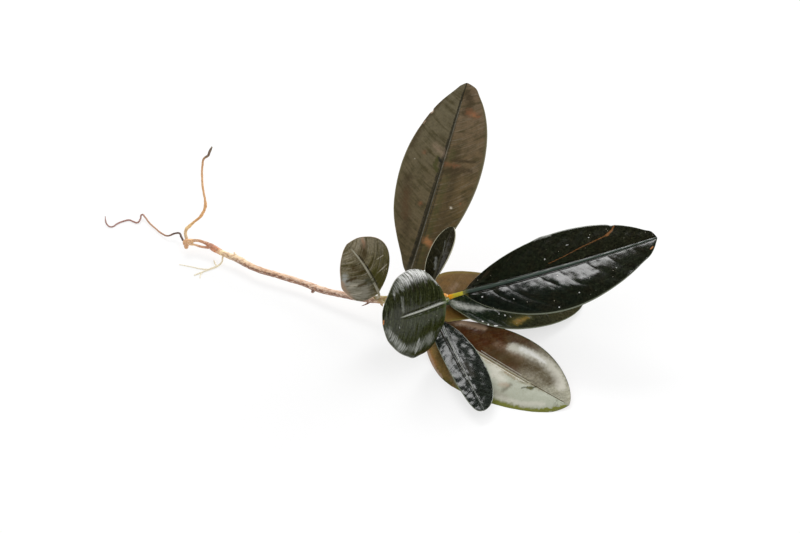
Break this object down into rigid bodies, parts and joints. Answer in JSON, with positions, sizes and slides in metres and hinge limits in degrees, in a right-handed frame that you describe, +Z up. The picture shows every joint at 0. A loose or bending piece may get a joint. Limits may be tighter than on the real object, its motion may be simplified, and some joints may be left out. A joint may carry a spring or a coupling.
{
  "type": "bucephalandra plant",
  "caption": "Small bare-root water plant lying loose: glossy dark oval leaves on short stalks at the end of a thin creeping stem with trailing roots.",
  "frame": {"origin": "on the surface that the plant lies on, below the middle of its box", "axes": "+X to the right in the picture, along the plant from the roots to the crown; +Y away from the camera; +Z up from the surface"},
  "size_m": [0.1704, 0.0962, 0.0551],
  "materials": {
    "stem": "dry tan-brown rhizome with pale flecks and dark joints",
    "root_standing": "orange-tan root, darker at the tip",
    "root_trailing": "dark brown root, tan in its middle",
    "rootlets": "pale cream fine rootlets",
    "leaf_tall": "bronze-brown, nearly matt leaf with a dark midrib and rust blotches",
    "leaf_right": "black-green glossy leaf with a brown scar",
    "leaf_right_lower": "dark green glossy leaf",
    "leaf_front_broad": "glossy leaf, red-brown at the stalk and grey-green at the tip",
    "leaf_front_narrow": "black-green glossy leaf with a pale midrib",
    "leaf_round_front": "black-green glossy leaf with a silvery edge",
    "leaf_round_side": "olive-brown leaf with fine lateral stripes",
    "leaf_young": "dark folded young leaf with a light rim",
    "leaf_back": "brown leaf with a yellow-green rim"
  },
  "bodies": {
    "root": {"stem": "stem", "root_standing": "root_standing", "root_trailing": "root_trailing", "rootlets": "rootlets", "leaf_tall": "leaf_tall", "leaf_right": "leaf_right", "leaf_right_lower": "leaf_right_lower", "leaf_front_broad": "leaf_front_broad", "leaf_front_narrow": "leaf_front_narrow", "leaf_round_front": "leaf_round_front", "leaf_round_side": "leaf_round_side", "leaf_young": "leaf_young", "leaf_back": "leaf_back"}
  },
  "joints": []
}
